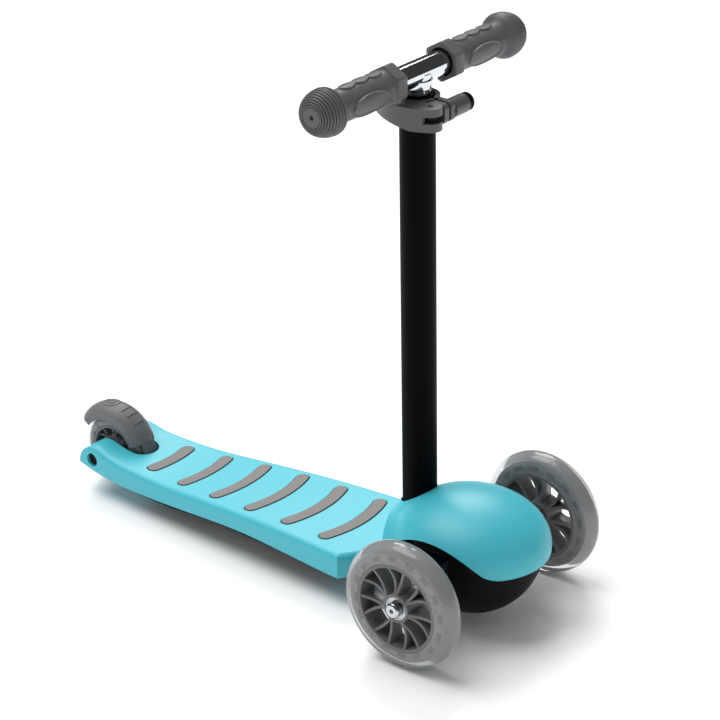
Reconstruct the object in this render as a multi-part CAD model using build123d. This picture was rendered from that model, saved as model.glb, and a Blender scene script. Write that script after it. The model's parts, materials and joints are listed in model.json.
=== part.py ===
from build123d import *
import os
from math import cos, pi, radians, sin, sqrt

# Three-wheeled child's kick scooter that steers by leaning. Millimetres.
# X points to the rider's left, Y points back from the front axle, Z points up from the ground.

# Wheels
FRONT_WHEEL_R = 60.0
REAR_WHEEL_R = 38.0
TYRE_W = 24.0
FRONT_TRACK_X = 106.0
REAR_AXLE_Y = 438.0
FRONT_RIM_R = 42.0
REAR_RIM_R = 25.5
RIM_WALL = 2.6
RIM_W = 22.6
FRONT_FLANGE_R = 51.5
REAR_FLANGE_R = 32.0
FRONT_CROWN = 9.5
REAR_CROWN = 7.0
FLANGE_W = 8.0
WINDOWS = 16
HUB_R = 13.6
HUB_W = 22.0
SPOKE_PAIRS = 7
SPOKE_T = 2.4
SPOKE_DEPTH = 20.0
SPOKE_DISH = 5.0
WINDOW_SHARE = 0.5
BEARING_R = 11.0
BEARING_W = 7.0
BEARING_INSET = 0.5
AXLE_R = 4.0
WHEEL_BOLT_R = 7.2
WHEEL_BOLT_HEAD = 6.0
RUN_FIT = 0.05
SIDE_PLAY = 0.3
GAP = 0.4

# Front housing: an ellipsoid cover over a boat-shaped base
COVER_CENTRE = (0.0, 3.3, 76.7)
COVER_AXES = (66.4, 73.6, 46.3)
LOBE_CENTRE = (0.0, 60.0, 50.0)
LOBE_AXES = (38.0, 36.0, 55.0)
COVER_WALL = 3.0
BASE_AXES = (62.6, 66.5, 67.0)
BASE_TOP_AXIS = 42.6
BASE_WALL = 3.2
COVER_FRONT_Z = 71.0
ARCH_CENTRE = (5.0, 27.0)
ARCH_R = 70.0
ARCH_BLEND_R = 22.0
BASE_LIP = 8.0
COVER_BOSSES = [(-26.0, -26.0), (26.0, -26.0)]
COVER_BOSS_R = 5.0
COVER_SCREW_Z = 39.0
WINDOW_Y = (-14.0, 41.0)
WINDOW_Z = (30.0, 89.0)
WINDOW_X = 37.0

# Lean axle
AXLE_Z = FRONT_WHEEL_R
LEAN_PIN_R = 6.0
LEAN_HUB_R = 12.0
LEAN_HUB_HALF = 18.0
BUSH_R = 8.0
BUSH_LEN = 12.0
BEAM_HALF_Y = 8.0
BEAM_HALF_Z = 7.0
KINGPIN_X = 72.0
KINGPIN_R = 4.0
EAR_R = 10.0
EAR_T = 5.0
KNUCKLE_R = 9.0
KNUCKLE_H = 20.0
STEER_ARM = 31.0
TIE_PIN_R = 3.0
TIE_HOLE_R = 3.8
TIE_ROD_Z = (49.6, 54.6)
BUMPER_X = 36.0
BUMPER_R = 8.0
BUMPER_FOOT_Z = 37.0
RIB_T = 5.0
STUB_END_X = FRONT_TRACK_X - HUB_W / 2 + BEARING_INSET - SIDE_PLAY

# Column, stem and handlebar
COLUMN_Y = 62.4
COLUMN_R = 15.8
COLUMN_BORE_R = 13.9
COLUMN_Z = (32.0, 484.0)
SOCKET_R = 20.4
SOCKET_TOP_Z = 86.0
SOCKET_FLOOR = 6.0
COLUMN_BOLT_R = 3.0
COLUMN_BOLT_Z = 56.0
COLUMN_BOLT_HEAD = 3.5
COLUMN_BOLT_HEAD_R = 5.0
STEM_R = 12.0
STEM_WALL = 1.6
STEM_FOOT_Z = 250.0
PLUG_FOOT_Z = 240.0
BUSH_BOTTOM_Z = 424.0
COLUMN_BUSH_TOP_Z = 487.0
BAR_Z = 505.0
BAR_R = 11.0
BAR_WALL = 1.6
BAR_HALF = 136.0
GRIP_X = (33.0, 140.6)
GRIP_HEX_R = 18.6
GRIP_HEX_LEN = 13.0
GRIP_BODY_R = 14.6
GRIP_BULB_R = 20.8
GRIP_BULB_LEN = 23.0

# Quick clamp at the column top
CLAMP_Z = (466.0, 486.0)
CLAMP_MID_Z = (CLAMP_Z[0] + CLAMP_Z[1]) / 2
CLAMP_R = 19.6
CLAMP_BOLT_Y = 34.5
CLAMP_BOLT_R = 3.0
CLAMP_EYE_R = 5.6
CLAMP_EAR_X = (1.5, 7.6)
CLAMP_EAR_REACH = 7.0
LEVER_PIVOT_X = -18.0
LEVER_PIN_R = 2.6
LEVER_R = (20.4, 34.0)
LEVER_TIP_R = 37.6
LEVER_ROOT_ANGLE = 240.0
LEVER_SIDE_ANGLE = 180.0
LEVER_TIP_ANGLE = 121.0
LEVER_Z = (465.6, 486.0)
LEVER_TAPER = ((45.0, 465.6), (97.0, 474.5))
LEVER_SLOT_Z = (473.0, 479.0)
LEVER_SLOT_LEFT = 13.0
LEVER_SLOT_CLEAR = 1.9
CAM_R = 10.0
NUT_R = 8.6
NUT_X = (8.0, 27.0)
NUT_CAP_X = 33.0

# Deck
DECK_NOSE_Y = 84.0
DECK_NOSE_HALF = 30.0
DECK_CORNER = (63.5, 109.0)
DECK_TAIL_HALF = 39.0
DECK_TAIL_Y = 462.0
DECK_TAIL_REACH = (476.0, 37.4)
DECK_TOP = [(84.0, 51.6), (150.0, 51.7), (200.0, 51.1), (250.0, 49.0), (300.0, 46.0), (350.0, 43.6)]
DECK_TOP += [(390.0, 44.6), (412.0, 46.7)]
DECK_BOTTOM = [(405.0, 23.3), (360.0, 23.8), (310.0, 26.8), (250.0, 31.0)]
DECK_BOTTOM += [(190.0, 30.8), (130.0, 28.4), (84.0, 28.4)]
DECK_EDGE_R = 6.5
DECK_WALL = 3.6
DECK_SIDE_WALL = 4.5
RIB_Z = 38.0
POCKET_Y = (131.0, 380.0)
POCKET_DROP = 20.0
ARM_CENTRE = (435.3, 30.7)
ARM_R = 21.1
ARM_JOIN_ANGLE = 105.0
ARM_TIP_ANGLE = 0.0
ARM_END_ANGLES = (75.0, 35.0)
SLOT_HALF = 16.0
SLOT_FRONT_Y = 391.0
AXLE_RECESS_R = 7.0
AXLE_RECESS_X = 27.0
PAD_PITCH = 46.7
PAD_FRONT_Y = 133.8
PAD_HALF_LENGTHS = [46.5, 45.2, 44.0, 41.3, 36.5, 30.5]
PAD_W = 12.6
PAD_BEND_R = 115.0
PAD_PROUD = 1.0
PAD_DEPTH = 2.0
PAD_CLEAR = 1.0
TRAY_BOTTOM = [(134.0, 23.6), (178.0, 26.0), (268.0, 26.0), (335.0, 19.4), (378.0, 18.6)]
TRAY_BEND_R = 60.0
TRAY_T = 3.0
TRAY_WALL_H = 8.0
TRAY_SIDE_GAP = 0.5
TRAY_SCREWS = [(34.0, 160.0), (30.0, 255.0), (24.0, 345.0)]
TONGUE_Y = (44.0, 130.0)
TONGUE_HALF = 24.0
TONGUE_SCREWS = [(16.0, 92.0)]
TONGUE_SCREW_BITE = 8.0
SCREW_R = 2.0
SCREW_HEAD_R = 4.0
SCREW_HEAD_T = 1.8
TRAY_SCREW_LEN = 15.0

# Brake
FENDER_CENTRE = (441.4, 38.0)
FENDER_R = (43.2, 46.2)
FENDER_EDGE_R = 31.4
FENDER_SHOULDER_R = (38.4, 38.4)
FENDER_HALF = (13.1, 15.0)
FENDER_ANGLES = (38.0, 160.0)
FENDER_ROOT = ((42.7, 161.0), (45.7, 152.0))
FENDER_KNEE = (394.2, 37.0)
SHOE_R = 39.4
SHOE_ANGLES = (72.0, 96.0)
SHOE_HALF = 6.0
BRAKE_PIVOT = (393.0, 30.0)
BRAKE_PIN_R = 2.5
BRAKE_BARREL_R = 4.8
BRAKE_BARREL_HALF = 8.0
BRAKE_PIN_HALF = 21.0
BARREL_POCKET = (15.0, 7.0, 8.0)
SPRING_R = (3.3, 5.1)
SPRING_X = (9.0, 13.4)
AXLE_HEAD_R = 6.4
AXLE_HEAD_LEN = 10.5

# The origin lies under the middle of the box: halfway between the nose of the cover and the fender's tail.
NOSE_Y = COVER_CENTRE[1] - COVER_AXES[1]
TAIL_Y = FENDER_CENTRE[0] + FENDER_R[1] * cos(radians(FENDER_ANGLES[0]))
CENTRE_Y = (NOSE_Y + TAIL_Y) / 2
FAR = 400.0


def box(x, y, z):
    """Box between pairs of X, Y and Z limits."""
    centre = Pos((x[0] + x[1]) / 2, (y[0] + y[1]) / 2, (z[0] + z[1]) / 2)
    return centre * Box(abs(x[1] - x[0]), abs(y[1] - y[0]), abs(z[1] - z[0]))


def rod_x(radius, x, y, z):
    return Pos((x[0] + x[1]) / 2, y, z) * Rot(0, 90, 0) * Cylinder(radius, abs(x[1] - x[0]))


def rod_y(radius, x, y, z):
    return Pos(x, (y[0] + y[1]) / 2, z) * Rot(90, 0, 0) * Cylinder(radius, abs(y[1] - y[0]))


def rod_z(radius, x, y, z):
    return Pos(x, y, (z[0] + z[1]) / 2) * Cylinder(radius, abs(z[1] - z[0]))


def ellipsoid(centre, axes):
    return Pos(*centre) * scale(Sphere(1), by=axes)


def side_prism(outline, half_width):
    """Extrude a closed Y-Z outline to both sides of the middle plane."""
    face = make_face(Plane.YZ * outline)
    return extrude(face, amount=half_width, both=True)


def mirrored(shape):
    return mirror(shape, about=Plane.YZ)


def save(name, shape):
    placed = Pos(0, -CENTRE_Y, 0) * shape
    placed.label = name
    export_step(placed, f"parts/{name}.step")


def group(shapes):
    return Compound(children=[solid for shape in shapes for solid in shape.solids()])


# Wheels, modelled about the X axis with the mid-plane at x = 0

def wheel_core(rim_r, flange_r):
    """Moulded core: hub, paired spokes, rim and a windowed flange that the tyre is cast around."""
    hub = rod_x(HUB_R, (-HUB_W / 2, HUB_W / 2), 0, 0)
    rim = rod_x(rim_r, (-RIM_W / 2, RIM_W / 2), 0, 0)
    rim -= rod_x(rim_r - RIM_WALL, (-RIM_W, RIM_W), 0, 0)
    flange = rod_x(flange_r, (-FLANGE_W / 2, FLANGE_W / 2), 0, 0)
    flange -= rod_x(rim_r - RIM_WALL, (-RIM_W, RIM_W), 0, 0)
    pitch = 360 / (2 * SPOKE_PAIRS)
    root = HUB_R - 1.5
    tip = rim_r - RIM_WALL / 2
    spokes = []
    for pair in range(SPOKE_PAIRS):
        for side in (-1, 1):
            foot_angle = radians(2 * pitch * pair + side * pitch / 8)
            tip_angle = radians(2 * pitch * pair + side * pitch / 2)
            foot = Vector(0, root * cos(foot_angle), root * sin(foot_angle))
            end = Vector(0, tip * cos(tip_angle), tip * sin(tip_angle))
            along = end - foot
            plane = Plane(origin=(foot + end) * 0.5, x_dir=(1, 0, 0), z_dir=along)
            spokes.append(plane * Box(SPOKE_DEPTH, SPOKE_T, along.length))
    middle = (HUB_R + rim_r - RIM_WALL) / 2
    groove = Ellipse((rim_r - RIM_WALL - HUB_R) / 2, SPOKE_DISH)
    dish = revolve(Pos(SPOKE_DEPTH / 2, middle) * Rot(0, 0, 90) * groove, axis=Axis.X)
    spokes = group(spokes) - dish - mirrored(dish)
    core = hub + rim + flange + spokes.solids()
    windows = []
    window_r = (rim_r + flange_r) / 2
    window_h = (flange_r - rim_r) * WINDOW_SHARE
    window_w = 2 * pi * window_r / WINDOWS * WINDOW_SHARE
    for i in range(WINDOWS):
        window = Pos(0, window_r, 0) * Box(FLANGE_W * 2, window_h, window_w)
        windows.append(Rot(360 / WINDOWS * i, 0, 0) * window)
    core -= windows
    seat = HUB_W / 2 - BEARING_INSET - BEARING_W
    for side in (-1, 1):
        core -= rod_x(BEARING_R, (side * seat, side * HUB_W), 0, 0)
    core -= rod_x(BEARING_R - 2, (-HUB_W, HUB_W), 0, 0)
    return core


def wheel_tyre(wheel_r, rim_r, crown, core):
    """Round-crowned solid tyre that fills the flange's windows."""
    half = TYRE_W / 2
    shoulder = wheel_r - crown
    section = Polyline((-half + 0.7, rim_r), (-half, rim_r + 3), (-half, shoulder))
    section += ThreePointArc((-half, shoulder), (0, wheel_r), (half, shoulder))
    section += Polyline((half, shoulder), (half, rim_r + 3), (half - 0.7, rim_r), (-half + 0.7, rim_r))
    tyre = revolve(make_face(section), axis=Axis.X)
    return tyre - core


def bearings():
    rings = []
    outer = HUB_W / 2 - BEARING_INSET
    for side in (-1, 1):
        ring = rod_x(BEARING_R, (side * (outer - BEARING_W), side * outer), 0, 0)
        rings.append(ring - rod_x(AXLE_R + RUN_FIT, (-HUB_W, HUB_W), 0, 0))
    return rings


def bearing_spacer():
    half = HUB_W / 2 - BEARING_INSET - BEARING_W
    return rod_x(AXLE_R + 2.4, (-half, half), 0, 0) - rod_x(AXLE_R + RUN_FIT, (-HUB_W, HUB_W), 0, 0)


def save_wheel(name, sizes, place):
    wheel_r, rim_r, flange_r, crown = sizes
    core = wheel_core(rim_r, flange_r)
    save(f"{name}_tyre", place * wheel_tyre(wheel_r, rim_r, crown, core))
    save(f"{name}_core", place * core)
    save(f"{name}_bearings", group([place * ring for ring in bearings()]))
    save(f"{name}_bearing_spacer", place * bearing_spacer())


# Front housing

def arch_prism(grow, floor_z):
    """Everything below the cover's lower edge: a wheel arch that sweeps down to the nose."""
    cy, cz = ARCH_CENTRE
    arch_r = ARCH_R + grow
    front_z = COVER_FRONT_Z + grow
    blend_z = front_z + ARCH_BLEND_R
    reach = arch_r + ARCH_BLEND_R
    blend_y = cy - sqrt(reach ** 2 - (blend_z - cz) ** 2)
    share = arch_r / reach
    touch = (cy + (blend_y - cy) * share, cz + (blend_z - cz) * share)
    rear_y = cy + sqrt(arch_r ** 2 - (floor_z - cz) ** 2)
    dy = touch[0] - blend_y
    dz = touch[1] - blend_z
    bisect = Vector(dy, dz - ARCH_BLEND_R).normalized() * ARCH_BLEND_R
    mid = (blend_y + bisect.X, blend_z + bisect.Y)
    outline = Polyline((-FAR, -FAR), (-FAR, front_z), (blend_y, front_z))
    outline += ThreePointArc((blend_y, front_z), mid, touch)
    outline += ThreePointArc(touch, (cy, cz + arch_r), (rear_y, floor_z))
    outline += Polyline((rear_y, floor_z), (FAR, floor_z), (FAR, -FAR), (-FAR, -FAR))
    return side_prism(outline, FAR)


def shrunk(axes, wall):
    return tuple(axis - wall for axis in axes)


def front_cover():
    """Thin dome with a smaller lobe behind it that closes around the column."""
    outer = ellipsoid(COVER_CENTRE, COVER_AXES) + ellipsoid(LOBE_CENTRE, LOBE_AXES)
    inner = ellipsoid(COVER_CENTRE, shrunk(COVER_AXES, COVER_WALL))
    inner += ellipsoid(LOBE_CENTRE, shrunk(LOBE_AXES, COVER_WALL))
    cover = outer - inner
    for x, y in COVER_BOSSES:
        boss = rod_z(COVER_BOSS_R, x, y, (COVER_FRONT_Z + 6, COVER_CENTRE[2] + COVER_AXES[2]))
        cover += boss & outer
        cover -= rod_z(SCREW_R, x, y, (0, COVER_FRONT_Z + 16))
    cover -= arch_prism(0, DECK_TOP[0][1] + GAP)
    cover -= rod_z(COLUMN_R + GAP, 0, COLUMN_Y, (0, FAR))
    return cover


def front_base():
    """Boat-shaped lower housing with the column socket, the lean pin's ribs and the deck tongue."""
    below = box((-FAR, FAR), (-FAR, FAR), (-FAR, COVER_CENTRE[2]))
    above = box((-FAR, FAR), (-FAR, FAR), (COVER_CENTRE[2], FAR))
    top_axes = (BASE_AXES[0], BASE_AXES[1], BASE_TOP_AXIS)
    outer = (ellipsoid(COVER_CENTRE, BASE_AXES) & below) + (ellipsoid(COVER_CENTRE, top_axes) & above)
    inner = ellipsoid(COVER_CENTRE, shrunk(BASE_AXES, BASE_WALL)) & below
    inner += ellipsoid(COVER_CENTRE, shrunk(top_axes, BASE_WALL)) & above
    shell = (outer - inner) & arch_prism(BASE_LIP, DECK_TOP[0][1])
    rib_top = AXLE_Z + LEAN_PIN_R + 6
    ribs = []
    for side in (-1, 1):
        near = side * (LEAN_HUB_HALF + GAP)
        ribs.append(box((-14, 14), (near, near + side * RIB_T), (0, rib_top)) & outer)
        ribs.append(rod_z(BUMPER_R + 2, side * BUMPER_X, 0, (0, BUMPER_FOOT_Z)) & outer)
    for x, y in COVER_BOSSES:
        ribs.append(rod_z(COVER_BOSS_R, x, y, (0, COVER_FRONT_Z + 6)) & outer)
    socket = rod_z(SOCKET_R, 0, COLUMN_Y, (COLUMN_Z[0] - SOCKET_FLOOR, SOCKET_TOP_Z))
    base = shell + ribs + socket + tongue(0)
    for side in (-1, 1):
        base -= box((side * WINDOW_X, side * FAR), WINDOW_Y, WINDOW_Z)
    base -= rod_z(COLUMN_R, 0, COLUMN_Y, (COLUMN_Z[0], FAR))
    base -= rod_y(LEAN_PIN_R, 0, (-30, 30), AXLE_Z)
    base -= column_bolt()
    for x, y in COVER_BOSSES:
        base -= rod_z(SCREW_R, x, y, (0, FAR))
        base -= rod_z(SCREW_HEAD_R + GAP, x, y, (0, COVER_SCREW_Z))
    for x, y in tongue_screw_places():
        base -= rod_z(SCREW_R, x, y, (0, FAR))
    return base


def tongue(grow):
    """Flat tongue behind the socket that the deck is screwed to."""
    half = TONGUE_HALF + grow
    z = (COLUMN_Z[0] - SOCKET_FLOOR - grow, COLUMN_Z[0] + grow)
    return box((-half, half), (TONGUE_Y[0] - grow, TONGUE_Y[1] + grow), z)


def cover_screws():
    screws = []
    for x, y in COVER_BOSSES:
        shank = rod_z(SCREW_R, x, y, (COVER_SCREW_Z, COVER_FRONT_Z + 15))
        screws.append(shank + rod_z(SCREW_HEAD_R, x, y, (COVER_SCREW_Z - 2.5, COVER_SCREW_Z)))
    return screws


# Lean axle

def axle_beam():
    """Rocking beam: a hub on the lean pin, two arms, and a fork at each end for the steering knuckle."""
    beam = rod_y(LEAN_HUB_R, 0, (-LEAN_HUB_HALF, LEAN_HUB_HALF), AXLE_Z)
    web_x = KINGPIN_X - KNUCKLE_R - GAP
    beam += box((-web_x, web_x), (-BEAM_HALF_Y, BEAM_HALF_Y), (AXLE_Z - BEAM_HALF_Z, AXLE_Z + BEAM_HALF_Z))
    inner_z = KNUCKLE_H / 2 + GAP
    outer_z = inner_z + EAR_T
    for side in (-1, 1):
        web = box((side * (web_x - 6), side * web_x), (-EAR_R, EAR_R), (AXLE_Z - outer_z, AXLE_Z + outer_z))
        beam += web
        for up in (-1, 1):
            z = (AXLE_Z + up * inner_z, AXLE_Z + up * outer_z)
            beam += box((side * web_x, side * KINGPIN_X), (-EAR_R, EAR_R), z)
            beam += rod_z(EAR_R, side * KINGPIN_X, 0, z)
        beam -= rod_z(KINGPIN_R, side * KINGPIN_X, 0, (0, FAR))
    return beam - rod_y(BUSH_R, 0, (-FAR, FAR), AXLE_Z)


def lean_bushes():
    rings = []
    for side in (-1, 1):
        ring = rod_y(BUSH_R, 0, (side * (LEAN_HUB_HALF - BUSH_LEN), side * LEAN_HUB_HALF), AXLE_Z)
        rings.append(ring - rod_y(LEAN_PIN_R + RUN_FIT, 0, (-FAR, FAR), AXLE_Z))
    return rings


def lean_pin():
    reach = LEAN_HUB_HALF + GAP + RIB_T
    pin = rod_y(LEAN_PIN_R, 0, (-reach, reach), AXLE_Z)
    return pin + rod_y(LEAN_PIN_R + 3, 0, (-reach - 4, -reach), AXLE_Z)


def kingpins():
    reach = KNUCKLE_H / 2 + GAP + EAR_T
    pins = []
    for side in (-1, 1):
        pin = rod_z(KINGPIN_R, side * KINGPIN_X, 0, (AXLE_Z - reach - 1, AXLE_Z + reach))
        pins.append(pin + rod_z(KINGPIN_R + 2.5, side * KINGPIN_X, 0, (AXLE_Z + reach, AXLE_Z + reach + 3)))
    return pins


def knuckle():
    """Left knuckle: a kingpin boss, a stub for the wheel's bolt, and a steering arm with its pin."""
    z = (AXLE_Z - KNUCKLE_H / 2, AXLE_Z + KNUCKLE_H / 2)
    body = rod_z(KNUCKLE_R, KINGPIN_X, 0, z)
    body += rod_x(KNUCKLE_R - 1, (KINGPIN_X, STUB_END_X - 4), 0, AXLE_Z)
    body += rod_x(AXLE_R + 2, (KINGPIN_X, STUB_END_X), 0, AXLE_Z)
    arm_z = (TIE_ROD_Z[1] + 1, TIE_ROD_Z[1] + 9)
    body += box((KINGPIN_X - 5, KINGPIN_X + 5), (0, STEER_ARM), arm_z)
    body += rod_z(5, KINGPIN_X, STEER_ARM, arm_z)
    body += rod_z(TIE_PIN_R, KINGPIN_X, STEER_ARM, (TIE_ROD_Z[0] - 2, arm_z[0]))
    body -= rod_z(KINGPIN_R + RUN_FIT, KINGPIN_X, 0, (0, FAR))
    return body - rod_x(AXLE_R, (KINGPIN_X + KINGPIN_R + 2, FAR), 0, AXLE_Z)


def front_axle_bolt():
    """Left wheel bolt with a round head and a small centre hole."""
    face_x = FRONT_TRACK_X + HUB_W / 2 - BEARING_INSET + SIDE_PLAY
    shank = rod_x(AXLE_R, (KINGPIN_X + KINGPIN_R + 2, face_x), 0, AXLE_Z)
    head = rod_x(WHEEL_BOLT_R, (face_x, face_x + WHEEL_BOLT_HEAD), 0, AXLE_Z)
    head = chamfer(head.edges().sort_by(Axis.X)[-1:], WHEEL_BOLT_HEAD / 4)
    return shank + head - rod_x(AXLE_R / 2, (face_x + WHEEL_BOLT_HEAD / 2, FAR), 0, AXLE_Z)


def tie_rod():
    bar = box((-KINGPIN_X, KINGPIN_X), (STEER_ARM - 5, STEER_ARM + 5), TIE_ROD_Z)
    for side in (-1, 1):
        bar += rod_z(6.5, side * KINGPIN_X, STEER_ARM, TIE_ROD_Z)
        bar -= rod_z(TIE_HOLE_R, side * KINGPIN_X, STEER_ARM, (0, FAR))
    return bar


def lean_bumper():
    return rod_z(BUMPER_R, BUMPER_X, 0, (BUMPER_FOOT_Z, AXLE_Z - BEAM_HALF_Z))


# Column and handlebar

def column_bolt():
    bolt = rod_x(COLUMN_BOLT_R, (-SOCKET_R, SOCKET_R), COLUMN_Y, COLUMN_BOLT_Z)
    head = (-SOCKET_R - COLUMN_BOLT_HEAD, -SOCKET_R)
    return bolt + rod_x(COLUMN_BOLT_HEAD_R, head, COLUMN_Y, COLUMN_BOLT_Z)


def column_tube():
    tube = rod_z(COLUMN_R, 0, COLUMN_Y, COLUMN_Z) - rod_z(COLUMN_BORE_R, 0, COLUMN_Y, (0, FAR * 2))
    return tube - column_bolt()


def column_bush():
    bush = rod_z(COLUMN_BORE_R, 0, COLUMN_Y, (BUSH_BOTTOM_Z, COLUMN_Z[1]))
    bush += rod_z(COLUMN_R - 1, 0, COLUMN_Y, (COLUMN_Z[1], COLUMN_BUSH_TOP_Z))
    return bush - rod_z(STEM_R + RUN_FIT, 0, COLUMN_Y, (0, FAR * 2))


def stem_tube():
    stem = rod_z(STEM_R, 0, COLUMN_Y, (STEM_FOOT_Z, BAR_Z))
    stem -= rod_z(STEM_R - STEM_WALL, 0, COLUMN_Y, (0, BAR_Z))
    return stem - rod_x(BAR_R, (-FAR, FAR), COLUMN_Y, BAR_Z)


def stem_plug():
    head = rod_z(COLUMN_BORE_R - 0.07, 0, COLUMN_Y, (PLUG_FOOT_Z, STEM_FOOT_Z))
    return head + rod_z(STEM_R - STEM_WALL, 0, COLUMN_Y, (STEM_FOOT_Z, STEM_FOOT_Z + 12))


def stem_weld():
    bead = rod_z(STEM_R + 1.6, 0, COLUMN_Y, (BAR_Z - BAR_R - 2.5, BAR_Z - BAR_R + 6))
    bead = chamfer(bead.edges().filter_by(GeomType.CIRCLE).sort_by(Axis.Z)[:1], 1.2)
    bead -= rod_z(STEM_R, 0, COLUMN_Y, (0, FAR * 2))
    return bead - rod_x(BAR_R, (-FAR, FAR), COLUMN_Y, BAR_Z)


def cross_tube():
    tube = rod_x(BAR_R, (-BAR_HALF, BAR_HALF), COLUMN_Y, BAR_Z)
    return tube - rod_x(BAR_R - BAR_WALL, (-FAR, FAR), COLUMN_Y, BAR_Z)


def grip():
    """Left grip: hexagon flange, waisted body, and a ridged bulb that closes the bar's end."""
    x0, x1 = GRIP_X
    bulb_x = x1 - GRIP_BULB_LEN
    hex_end = x0 + GRIP_HEX_LEN
    section = Polyline((x0 + 1, 0), (x0 + 1, GRIP_BODY_R), (bulb_x - 8, GRIP_BODY_R))
    section += Spline([(bulb_x - 8, GRIP_BODY_R), (bulb_x + 6, GRIP_BULB_R)], tangents=[(1, 0), (1, 0)])
    section += Polyline((bulb_x + 6, GRIP_BULB_R), (x1 - 12, GRIP_BULB_R))
    section += Spline([(x1 - 12, GRIP_BULB_R), (x1, 9.5)], tangents=[(1, 0), (0, -1)])
    section += Polyline((x1, 9.5), (x1, 0), (x0 + 1, 0))
    body = revolve(make_face(section), axis=Axis.X)
    hexagon = Plane(origin=(x0, 0, 0), x_dir=(0, 0, 1), z_dir=(1, 0, 0)) * RegularPolygon(GRIP_HEX_R, 6)
    flange = extrude(hexagon, amount=GRIP_HEX_LEN)
    flange = fillet(flange.edges().filter_by(Axis.X), 3.0)
    flange = chamfer(flange.faces().sort_by(Axis.X)[-1].edges(), 1.8)
    shape = body + flange
    shape -= rod_x(BAR_R, (0, BAR_HALF), 0, 0)
    shape -= rod_x(BAR_R + 2.0, (0, x0 + 4), 0, 0)
    shape -= rod_x(2.0, (x1 - 3, FAR), 0, 0)
    return Pos(0, COLUMN_Y, BAR_Z) * shape


# Quick clamp

def clamp_collar():
    """Split collar with two ears in front."""
    collar = rod_z(CLAMP_R, 0, COLUMN_Y, CLAMP_Z)
    z = (CLAMP_Z[0] + 1, CLAMP_Z[1] - 1)
    ear = box((0, CLAMP_EAR_X[1]), (CLAMP_BOLT_Y - CLAMP_EAR_REACH, COLUMN_Y - CLAMP_R / 2), z)
    ear = fillet(ear.edges().filter_by(Axis.X).group_by(Axis.Y)[0], CLAMP_EAR_REACH - 2)
    collar += ear + mirrored(ear)
    collar -= rod_z(COLUMN_R, 0, COLUMN_Y, (0, FAR * 2))
    collar -= box((-CLAMP_EAR_X[0], CLAMP_EAR_X[0]), (0, COLUMN_Y), (0, FAR * 2))
    return collar - rod_x(CLAMP_BOLT_R, (-FAR, FAR), CLAMP_BOLT_Y, CLAMP_MID_Z)


def clamp_bolt():
    """Eye bolt: the lever's pin runs in its eye, and the nut takes its other end."""
    half = (LEVER_SLOT_Z[1] - LEVER_SLOT_Z[0]) / 2 - GAP
    eye_z = (CLAMP_MID_Z - half, CLAMP_MID_Z + half)
    bolt = rod_x(CLAMP_BOLT_R, (LEVER_PIVOT_X, NUT_X[1] - 2), CLAMP_BOLT_Y, CLAMP_MID_Z)
    flat = box((LEVER_PIVOT_X, -CLAMP_EAR_X[0]), (0, FAR), eye_z)
    bolt &= flat + box((-CLAMP_EAR_X[0] - 1, FAR), (0, FAR), (0, FAR * 2))
    bolt += rod_z(CLAMP_EYE_R, LEVER_PIVOT_X, CLAMP_BOLT_Y, eye_z)
    return bolt - rod_z(LEVER_PIN_R + RUN_FIT, LEVER_PIVOT_X, CLAMP_BOLT_Y, (0, FAR * 2))


def clamp_nut():
    nut = rod_x(NUT_R, NUT_X, CLAMP_BOLT_Y, CLAMP_MID_Z)
    return nut - rod_x(CLAMP_BOLT_R, (0, NUT_X[1] - 2), CLAMP_BOLT_Y, CLAMP_MID_Z)


def clamp_nut_cap():
    return rod_x(NUT_R - GAP, (NUT_X[1], NUT_CAP_X), CLAMP_BOLT_Y, CLAMP_MID_Z)


def round_column(radius, angle):
    """Point at a radius and an angle round the column."""
    return (radius * cos(radians(angle)), COLUMN_Y + radius * sin(radians(angle)))


def clamp_lever():
    """Curved lever that wraps the collar, with a cam end that is slotted for the bolt's eye."""
    inner_r, outer_r = LEVER_R
    flank = CAM_R * sqrt(0.5)
    front = (LEVER_PIVOT_X - flank, CLAMP_BOLT_Y - flank)
    tip = round_column(LEVER_TIP_R, LEVER_TIP_ANGLE)
    heel = round_column(inner_r + 4, LEVER_TIP_ANGLE)
    end = round_column((LEVER_TIP_R + inner_r + 4) / 2, LEVER_TIP_ANGLE - 8)
    root = round_column(inner_r, LEVER_ROOT_ANGLE)
    outline = ThreePointArc(front, round_column(outer_r, LEVER_SIDE_ANGLE), tip)
    outline += ThreePointArc(tip, end, heel)
    outline += ThreePointArc(heel, round_column(inner_r, LEVER_SIDE_ANGLE), root)
    outline += Line(root, front)
    lever = Pos(0, 0, LEVER_Z[0]) * extrude(make_face(outline), amount=LEVER_Z[1] - LEVER_Z[0])
    (near_y, near_z), (far_y, far_z) = LEVER_TAPER
    low_z = near_z - CAM_R
    wedge = Polyline((near_y, near_z), (far_y, far_z), (far_y, low_z), (near_y, low_z), (near_y, near_z))
    lever -= side_prism(wedge, FAR)
    lever += rod_z(CAM_R, LEVER_PIVOT_X, CLAMP_BOLT_Y, LEVER_Z)
    half = CLAMP_EYE_R + LEVER_SLOT_CLEAR
    slot = rod_z(half, LEVER_PIVOT_X, CLAMP_BOLT_Y, LEVER_SLOT_Z)
    slot += box((LEVER_PIVOT_X, 0), (CLAMP_BOLT_Y - half, CLAMP_BOLT_Y + half), LEVER_SLOT_Z)
    slot += box((LEVER_PIVOT_X - LEVER_SLOT_LEFT, LEVER_PIVOT_X + half), (0, CLAMP_BOLT_Y), LEVER_SLOT_Z)
    lever -= slot
    return lever - rod_z(LEVER_PIN_R, LEVER_PIVOT_X, CLAMP_BOLT_Y, (0, FAR * 2))


def lever_pin():
    return rod_z(LEVER_PIN_R, LEVER_PIVOT_X, CLAMP_BOLT_Y, LEVER_Z)


# Deck

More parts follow.
